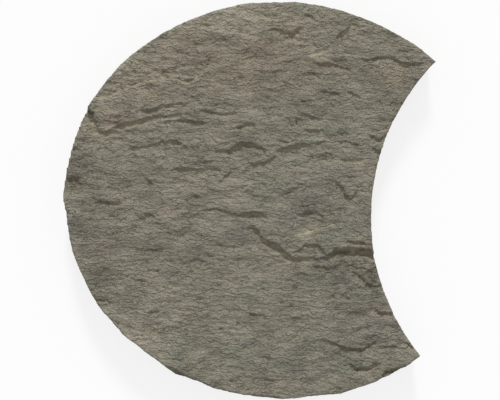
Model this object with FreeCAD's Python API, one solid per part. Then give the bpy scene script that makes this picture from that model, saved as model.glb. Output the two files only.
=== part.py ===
"""A crescent garden stepping stone: one hand-dressed slab of riven sandstone.

The slab is an oval with a round bite out of one end, so that a round stone can
nest against it. +X runs from the middle of the slab to the middle of the bite,
+Z is up, and the origin is on the ground under the middle of the outline.
"""
import FreeCAD, Part
import math
import os

# The oval that the slab is cut from, in millimetres.
LONG_AXIS = 495.0
SHORT_AXIS = 450.0
THICKNESS = 35.0
OVAL_SKEW = -1.95  # degrees that the long axis lies off the line to the bite

# The bite.
BITE_RADIUS = 248.0
BITE_DISTANCE = 349.5  # from the oval's middle to the middle of the bite's circle

# The dressed edge.
UNDERCUT = 3.0  # how far the wall leans in from the face to the bed
ARRIS = 1.0  # the worn corner between face and wall
DRESSING = 1.0  # one step of the chisel's wander off the oval

# The riven face.
BEDDING_SHEET = 1.2  # one sheet of the bedding
CUT_CLEARANCE = 5.0  # how far a cutting tool reaches past the slab

# Where the chisel's facets meet round the rim, and the belly between two of
# them: degrees round the oval and steps of DRESSING outwards, in turn.
RIM = [
    (44, 0.0), (50, -0.1), (58, 0.3), (66, -1.1), (79, 0.2), (84, 0.2),
    (91, 1.3), (96, -0.1), (104, 1.0), (125, -0.7), (141, 0.5), (150, 0.2),
    (158.5, 0.9), (167, -1.0), (184, 1.5), (191, -1.1), (200, 0.4), (209, -0.5),
    (217, 1.2), (222.5, 0.0), (228, 0.8), (237, -1.1), (245.5, 2.2), (251, -0.4),
    (256, 0.3), (268, -1.0), (277, -0.3), (280, -1.5), (290, 1.2), (293, 0.1),
    (300, 0.7), (305, -0.1), (309, 0.6), (314, -0.5), (320, 0.0), (362, 0.0),
]

# Scars where sheets of the stone split off the face. A ledge is a line of
# places in hundredths of the half short axis from the oval's middle. The floor
# is a shallow trough: it is "sheets" deep at "foot", which lies under the
# ledge, comes up to the face "spread" hundredths to either side, and rises out
# of the face "run" hundredths away towards "bearing", in degrees from +X.
SCARS = {
    "back_corner": {
        "ledge": [(-116, 42), (-101.6, 39.3), (-97.4, 35), (-94.6, 30.6), (-89.1, 29.9),
                  (-86.7, 32.5), (-80.7, 33.4), (-67.4, 38.1), (-54.5, 40.8), (-40, 40), (-28, 33)],
        "foot": (-80, 33.5), "sheets": 3.9, "spread": 30, "bearing": -78, "run": 17,
    },
    "left_middle": {
        "ledge": [(-88, 16), (-76.6, 22.5), (-67.6, 24), (-57.7, 27.1), (-52.2, 27.4), (-44.4, 22.2), (-32, 19)],
        "foot": (-64, 25), "sheets": 1.8, "spread": 22, "bearing": -85, "run": 11,
    },
    "left_streak": {
        "ledge": [(-62, 6), (-50.9, 12.8), (-41.9, 13.3), (-33.9, 14.3), (-23.6, 9.8), (-16, 6)],
        "foot": (-44, 13.5), "sheets": 2.4, "spread": 21, "bearing": -93, "run": 13,
    },
    "centre_brow": {
        "ledge": [(-42, 17), (-33.9, 23.8), (-28.4, 24.6), (-19.6, 28.6), (-16.6, 28.3),
                  (-14, 26.4), (-9.4, 25.2), (-2, 19)],
        "foot": (-20, 28), "sheets": 3.2, "spread": 18, "bearing": -88, "run": 9,
    },
    "centre_tongue": {
        "ledge": [(-24, 12), (-17, 17.7), (-9.1, 19.2), (-5.6, 20.8), (-4.3, 23.9),
                  (-2.4, 25.5), (7.5, 29.6), (19.5, 30.7), (32, 26)],
        "foot": (-8, 17), "sheets": 3, "spread": 27, "bearing": -75, "run": 24,
    },
    "middle_brow": {
        "ledge": [(-44, -12), (-37.8, -6.1), (-30.8, -5.7), (-22.6, -8.2), (-14, -6),
                  (-8.1, -7.5), (-2, -14)],
        "foot": (-14, -6), "sheets": 3.2, "spread": 26, "bearing": -95, "run": 12,
    },
    "main_shoulder": {
        "ledge": [(-24, -12.5), (-14.9, -12.3), (-9.5, -19.6), (0.8, -22.6), (4.4, -25.4), (16, -27)],
        "foot": (-3, -22), "sheets": 3.6, "spread": 20, "bearing": -124, "run": 13,
    },
    "main_ledge": {
        "ledge": [(-6, -30), (4.4, -25.4), (9.4, -25.1), (15.7, -20.7), (19.8, -20.5), (24.1, -26.8),
                  (35.5, -22.7), (46, -22), (70, -25)],
        "foot": (38, -22.5), "sheets": 4.4, "spread": 32, "bearing": -92, "run": 15,
    },
    "foot_lobe": {
        "ledge": [(22, -66), (26.9, -69.4), (34.7, -73), (41.2, -73.2), (50.1, -70.2), (58, -64)],
        "foot": (38, -73), "sheets": 2.4, "spread": 16, "bearing": -86, "run": 8,
    },
    "foot_nick": {
        "ledge": [(33, -75), (39.6, -80.3), (46.7, -82.4), (50.2, -81.2), (55, -75)],
        "foot": (44.5, -82), "sheets": 2.6, "spread": 10, "bearing": -80, "run": 6,
    },
    "front_shoulder": {
        "ledge": [(40, 106), (30.2, 93.2), (28.9, 89.6), (23.6, 84.8), (22.9, 78.7), (30, 70)],
        "foot": (27, 87), "sheets": 2.4, "spread": 18, "bearing": -20, "run": 12,
    },
    "top_hollow": {
        "ledge": [(-16, 82), (-9.7, 86.5), (-5.6, 86.2), (-2, 83.9), (3.8, 87.7), (9, 84)],
        "foot": (-2, 84), "sheets": 3.4, "spread": 9.5, "bearing": -90, "run": 9,
    },
    "brow_hollow": {
        "ledge": [(7, 66), (12.3, 70.6), (20.4, 70), (23.9, 69.7), (31, 65)],
        "foot": (19, 70), "sheets": 2.3, "spread": 13, "bearing": -85, "run": 8,
    },
    "right_tongue": {
        "ledge": [(26.3, 11.8), (27.6, 10.6), (31.5, 4.7), (34.1, 2.4), (36.5, 4.5), (39.7, 11.2), (41, 12.2)],
        "foot": (34, 2.4), "sheets": 1.8, "spread": 8.5, "bearing": -88, "run": 14,
    },
    "small_pit": {
        "ledge": [(5, -12), (10.4, -5.4), (15.4, -4.7), (20.4, -5.4), (26, -12)],
        "foot": (15, -4.7), "sheets": 2.8, "spread": 11, "bearing": -88, "run": 7,
    },
    "rim_pit": {
        "ledge": [(-118, 1), (-108.8, 5.2), (-102.8, 5.5), (-101.1, 1.6), (-99, -5)],
        "foot": (-105, 4), "sheets": 2.9, "spread": 10, "bearing": -95, "run": 10,
    },
    "south_sheet": {
        "ledge": [(-66, -31), (-52, -26.5), (-41, -26.8), (-34, -23.8), (-23, -25.8), (-12, -31)],
        "foot": (-38, -25), "sheets": 1.2, "spread": 24, "bearing": -90, "run": 9,
    },
    "north_step": {
        "ledge": [(-104, 52), (-96, 46.5), (-88.5, 46.8), (-79.5, 51), (-64, 56.5), (-50.5, 59.5),
                  (-46.5, 56.4), (-39.5, 61), (-30, 70)],
        "foot": (-70, 54), "sheets": 1.6, "spread": 38, "bearing": 98, "run": 12,
    },
    "brown_steps": {
        "ledge": [(-77, 36), (-70.1, 42.5), (-64.6, 42.8), (-63.2, 44.9), (-56.8, 46.2), (-51.7, 45.7), (-44, 41)],
        "foot": (-64, 44), "sheets": 2.6, "spread": 17, "bearing": -86, "run": 8,
    },
    "back_band": {
        "ledge": [(-63, 34), (-57.3, 37.4), (-50.8, 37.5), (-45.2, 37.5), (-38, 34)],
        "foot": (-50, 37.5), "sheets": 2.4, "spread": 14, "bearing": -88, "run": 9,
    },
    "hook": {
        "ledge": [(-20, 6), (-17.3, 4.1), (-13.6, 1.3), (-6.1, 1.7), (0.9, 3.3), (5.7, 6.4), (8, 8)],
        "foot": (-6, 2), "sheets": 1.9, "spread": 17, "bearing": -88, "run": 11,
    },
    "horn_line": {
        "ledge": [(29, 67), (36.3, 73.4), (44.3, 74.6), (50.3, 74.9), (55.4, 72.9), (61.4, 72.7), (71, 69)],
        "foot": (50, 74.5), "sheets": 2, "spread": 22, "bearing": -90, "run": 7,
    },
    "bite_lobe": {
        "ledge": [(37, 38), (42.9, 35.5), (47, 33.3), (49.9, 35.7), (56, 41)],
        "foot": (47, 33.5), "sheets": 2.4, "spread": 9, "bearing": -80, "run": 6,
    },
    "bite_shoulder": {
        "ledge": [(30, -28), (35.4, -30.7), (39.1, -34.3), (45.3, -38), (48.4, -39.1), (58, -39.5)],
        "foot": (46, -38), "sheets": 2.6, "spread": 14, "bearing": -85, "run": 6,
    },
    "horn_shelf": {
        "ledge": [(46, -50.4), (49.1, -51.9), (54.2, -53.6), (64, -53.5)],
        "foot": (54, -53.5), "sheets": 2.4, "spread": 11, "bearing": -88, "run": 6,
    },
    "horn_foot": {
        "ledge": [(57, -62.5), (63, -66.4), (68.7, -69.4), (78, -72)],
        "foot": (67, -68.5), "sheets": 2.2, "spread": 11, "bearing": -100, "run": 6,
    },
    "west_rim": {
        "ledge": [(-99, -54), (-90, -54.4), (-87, -54.7), (-83.4, -55.5), (-77, -60)],
        "foot": (-88, -54.7), "sheets": 2.2, "spread": 10, "bearing": -93, "run": 6,
    },
}

# Flakes knocked off the upper corner of the rim: degrees round the oval,
# length along the rim and depth into the corner, in millimetres.
CHIPS = [
    (240, 40.0, 2.6),
    (249, 30.0, 2.2),
    (301, 26.0, 3.2),
    (162, 16.0, 2.0),
    (191, 18.0, 2.2),
    (127, 22.0, 1.6),
    (98, 15.0, 1.4),
    (281, 20.0, 1.8),
]
CHIP_TILT = 50.0  # degrees that a flake's spoon leans up from the level


def rim_point(degrees, steps, inset, height):
    """A point of the rim, steps of DRESSING outside the oval and inset inside that."""
    turn = math.radians(degrees)
    x = LONG_AXIS / 2 * math.cos(turn)
    y = SHORT_AXIS / 2 * math.sin(turn)
    normal = FreeCAD.Vector(x / LONG_AXIS**2, y / SHORT_AXIS**2, 0)
    normal.normalize()
    point = FreeCAD.Vector(x, y, height) + normal * (steps * DRESSING - inset)
    return turned(point, OVAL_SKEW), turned(normal, OVAL_SKEW)


def turned(vector, degrees):
    """The vector turned about the upright through the oval's middle."""
    return FreeCAD.Rotation(FreeCAD.Vector(0, 0, 1), degrees).multVec(vector)


def rim_wire(height, inset):
    """The closed rim at one height: an arc for each facet that the chisel left."""
    points = [rim_point(degrees, steps, inset, height)[0] for degrees, steps in RIM]
    points.append(points[0])
    arcs = [Part.Arc(*points[i:i + 3]).toShape() for i in range(0, len(points) - 1, 2)]
    return Part.Wire(arcs)


def dressed_oval():
    """The whole oval with its leaning wall and its worn corners, before the bite."""
    sections = [
        rim_wire(0, UNDERCUT + ARRIS),
        rim_wire(ARRIS, UNDERCUT),
        rim_wire(THICKNESS - ARRIS, 0),
        rim_wire(THICKNESS, ARRIS),
    ]
    return Part.makeLoft(sections, True, True)


def bite_tool():
    """The round body that leaves the bite, turned with the same lean and corners."""
    low = -CUT_CLEARANCE
    high = THICKNESS + CUT_CLEARANCE
    profile = [
        (0, low),
        (BITE_RADIUS + UNDERCUT + ARRIS + CUT_CLEARANCE, low),
        (BITE_RADIUS + UNDERCUT, ARRIS),
        (BITE_RADIUS, THICKNESS - ARRIS),
        (BITE_RADIUS + ARRIS + CUT_CLEARANCE, high),
        (0, high),
    ]
    corners = [FreeCAD.Vector(radius, 0, height) for radius, height in profile]
    face = Part.Face(Part.makePolygon(corners + corners[:1]))
    body = face.revolve(FreeCAD.Vector(0, 0, 0), FreeCAD.Vector(0, 0, 1), 360)
    body.translate(FreeCAD.Vector(BITE_DISTANCE, 0, 0))
    return body


def scar_tool(ledge, foot, sheets, spread, bearing, run):
    """What split off at one ledge: the body of a wide round trough, up to the ledge's line."""
    share = SHORT_AXIS / 200
    drop = sheets * BEDDING_SHEET
    half_width = spread * share
    radius = (half_width**2 + drop**2) / (2 * drop)
    slope = math.atan2(drop, run * share)
    across = FreeCAD.Vector(math.cos(math.radians(bearing)), math.sin(math.radians(bearing)), 0)
    along = across * math.cos(slope) + FreeCAD.Vector(0, 0, math.sin(slope))
    upright = FreeCAD.Vector(0, 0, math.cos(slope)) - across * math.sin(slope)
    reach = LONG_AXIS
    bottom = FreeCAD.Vector(foot[0] * share, foot[1] * share, THICKNESS - drop)
    trough = Part.makeCylinder(radius, 2 * reach, bottom + upright * radius - along * reach, along)

    low = THICKNESS / 2
    points = [FreeCAD.Vector(x * share, y * share, low) for x, y in ledge]
    sweep = across * reach
    edge = Part.BSplineCurve()
    edge.interpolate(points)
    outline = [
        edge.toShape(),
        Part.makeLine(points[-1], points[-1] + sweep),
        Part.makeLine(points[-1] + sweep, points[0] + sweep),
        Part.makeLine(points[0] + sweep, points[0]),
    ]
    column = Part.Face(Part.Wire(outline)).extrude(FreeCAD.Vector(0, 0, THICKNESS))
    return column.common(trough)


def chip_tool(degrees, length, depth):
    """The ball whose cap is one flake knocked off the rim's upper corner."""
    radius = (length**2 / 4 + depth**2) / (2 * depth)
    corner, outwards = rim_point(degrees, 0, 0, THICKNESS)
    tilt = math.radians(CHIP_TILT)
    away = outwards * math.cos(tilt) + FreeCAD.Vector(0, 0, math.sin(tilt))
    return Part.makeSphere(radius, corner + away * (radius - depth))


def stepping_stone():
    stone = dressed_oval().cut(bite_tool())
    for scar in SCARS.values():
        stone = stone.cut(scar_tool(**scar))
    for chip in CHIPS:
        stone = stone.cut(chip_tool(*chip))
    middle = stone.optimalBoundingBox(False, False).Center
    stone.translate(FreeCAD.Vector(-middle.x, -middle.y, 0))
    return stone


stone = stepping_stone()
print("solids", len(stone.Solids), "valid", stone.isValid(), "faces", len(stone.Faces))
print("volume litres", round(stone.Volume / 1e6, 3), "box", stone.optimalBoundingBox(False, False))
os.makedirs("parts", exist_ok=True)
stone.exportStep("parts/stepping_stone.step")
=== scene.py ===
# Crescent stepping stone of riven sandstone, lying flat and seen from straight above
import bpy
import math
import numpy as np
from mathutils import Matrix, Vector


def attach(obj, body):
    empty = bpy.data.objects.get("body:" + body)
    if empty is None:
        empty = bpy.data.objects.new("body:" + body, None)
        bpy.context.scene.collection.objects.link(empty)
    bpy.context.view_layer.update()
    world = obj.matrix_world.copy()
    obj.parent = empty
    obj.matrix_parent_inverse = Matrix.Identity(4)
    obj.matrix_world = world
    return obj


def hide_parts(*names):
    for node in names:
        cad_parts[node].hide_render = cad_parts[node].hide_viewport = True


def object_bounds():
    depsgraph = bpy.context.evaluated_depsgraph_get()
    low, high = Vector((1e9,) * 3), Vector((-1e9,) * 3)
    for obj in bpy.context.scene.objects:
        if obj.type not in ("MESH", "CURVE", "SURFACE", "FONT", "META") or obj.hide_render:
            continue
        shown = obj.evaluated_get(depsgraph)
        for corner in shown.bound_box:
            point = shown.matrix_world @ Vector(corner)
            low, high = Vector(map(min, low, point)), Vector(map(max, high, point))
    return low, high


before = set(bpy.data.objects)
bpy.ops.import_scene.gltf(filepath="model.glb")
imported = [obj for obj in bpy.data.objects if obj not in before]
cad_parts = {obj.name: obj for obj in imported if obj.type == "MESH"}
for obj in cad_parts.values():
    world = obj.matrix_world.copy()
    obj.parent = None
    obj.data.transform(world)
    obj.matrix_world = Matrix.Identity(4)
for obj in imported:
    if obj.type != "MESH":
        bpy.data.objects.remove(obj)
cadLow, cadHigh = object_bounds()
mm = 0.001

# How the photo lies over the stone. Ledge, pit and stain places are read off it, in its 500 x 400 pixels.
picture = {
    "wide": 500,
    "high": 400,
    "ovalAt": (282.42, 200.55),      # pixel over the oval's middle
    "ovalOnStone": (41.29 * mm, -1.03 * mm),
    "pixel": 1.1295 * mm,            # one pixel on the face
    "turn": math.radians(3.107),     # the picture's level against the stone's X
    "lens": 100,
    "sensor": 36,
}


def turnedBy(angle, x, y):
    c = math.cos(angle)
    s = math.sin(angle)
    return x * c - y * s, x * s + y * c


def onStone(px, py):
    # a pixel's place on the stone
    across = (np.asarray(px, float) + 0.5 - picture["ovalAt"][0]) * picture["pixel"]
    up = -(np.asarray(py, float) + 0.5 - picture["ovalAt"][1]) * picture["pixel"]
    x, y = turnedBy(picture["turn"], across, up)
    return x + picture["ovalOnStone"][0], y + picture["ovalOnStone"][1]


# The outline that the relief has to know about; the real one comes from the CAD node
outline = {
    "ovalLong": 247.5 * mm,
    "ovalShort": 225 * mm,
    "ovalTurn": math.radians(-1.95),
    "biteAt": (390.79 * mm, -1.03 * mm),
    "biteRadius": 248 * mm,
}


def biteDistance(x, y):
    return np.hypot(x - outline["biteAt"][0], y - outline["biteAt"][1]) - outline["biteRadius"]


def rimDistance(x, y):
    # how far inside the rim or the bite a place is
    u = x - picture["ovalOnStone"][0]
    v = y - picture["ovalOnStone"][1]
    u, v = turnedBy(-outline["ovalTurn"], u, v)
    along = u / outline["ovalLong"]
    over = v / outline["ovalShort"]
    radius = np.hypot(along, over) + 1e-6
    slope = np.hypot(along / outline["ovalLong"], over / outline["ovalShort"]) / radius
    fromRim = (1 - radius) / np.maximum(slope, 1e-6)
    return np.minimum(fromRim, biteDistance(x, y))


# The riven face as a height map, with cells of about half a pixel of the photo
face = {
    "cell": 0.55 * mm,
    "margin": 12 * mm,
    "top": 34.92 * mm,     # highest crest, just under the CAD's face
    "level": 33.75 * mm,   # the face's mean height
    "grainTurn": math.radians(3.1),
}
cellsX = int((cadHigh.x - cadLow.x + 2 * face["margin"]) / face["cell"])
cellsY = int((cadHigh.y - cadLow.y + 2 * face["margin"]) / face["cell"])
mapLow = (cadLow.x - face["margin"], cadLow.y - face["margin"])
gridX = mapLow[0] + np.arange(cellsX) * face["cell"]
gridY = mapLow[1] + np.arange(cellsY) * face["cell"]
mapX, mapY = np.meshgrid(gridX, gridY, indexing="ij")


def roughField(seed, lengthX, lengthY, fall, cells=(cellsX, cellsY), turn=face["grainTurn"]):
    # random height with a mean of 0 and a spread of 1: long along the grain, short across it
    dice = np.random.RandomState(seed)
    white = dice.normal(size=cells)
    fx = np.fft.fftfreq(cells[0], face["cell"])[:, None]
    fy = np.fft.rfftfreq(cells[1], face["cell"])[None, :]
    along, over = turnedBy(-turn, fx, fy)
    keep = (1 + (along * lengthX) ** 2 + (over * lengthY) ** 2) ** (-fall / 2)
    field = np.fft.irfft2(np.fft.rfft2(white) * keep, s=white.shape)
    field -= field.mean()
    return field / field.std()


def blurred(field, length):
    fx = np.fft.fftfreq(field.shape[0], face["cell"])[:, None]
    fy = np.fft.rfftfreq(field.shape[1], face["cell"])[None, :]
    keep = np.exp(-2 * (math.pi * length) ** 2 * (fx ** 2 + fy ** 2))
    return np.fft.irfft2(np.fft.rfft2(field) * keep, s=field.shape)


def softStep(low, high, value):
    t = np.clip((value - low) / (high - low), 0, 1)
    return t * t * (3 - 2 * t)


def rounded(points, times=2):
    # cuts the corners off a given line
    line = np.asarray(points, float)
    for _ in range(times):
        early = line[:-1] * 0.75 + line[1:] * 0.25
        late = line[:-1] * 0.25 + line[1:] * 0.75
        middle = np.stack((early, late), axis=1).reshape(-1, line.shape[1])
        line = np.vstack((line[:1], middle, line[-1:]))
    return line


def alongLine(x, y, line):
    # nearest point of a line: signed distance, right-hand side positive, and the value carried there
    best = np.full(x.shape, 1e9)
    turned = np.zeros(x.shape)
    value = np.zeros(x.shape)
    for a, b in zip(line[:-1], line[1:]):
        dx = b[0] - a[0]
        dy = b[1] - a[1]
        size = dx * dx + dy * dy + 1e-18
        t = np.clip(((x - a[0]) * dx + (y - a[1]) * dy) / size, 0, 1)
        gapX = x - a[0] - t * dx
        gapY = y - a[1] - t * dy
        gap = gapX * gapX + gapY * gapY
        across = (gapX * dy - gapY * dx) / math.sqrt(size)
        # at a corner that two stretches share, the one that is seen more squarely says which side it is
        closer = (gap < best * 0.9999) | ((gap < best * 1.0001) & (np.abs(across) > np.abs(turned)))
        best = np.where(closer, gap, best)
        turned = np.where(closer, across, turned)
        value = np.where(closer, a[2] + t * (b[2] - a[2]), value)
    return np.sqrt(best) * np.where(turned > 0, 1.0, -1.0), value


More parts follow.
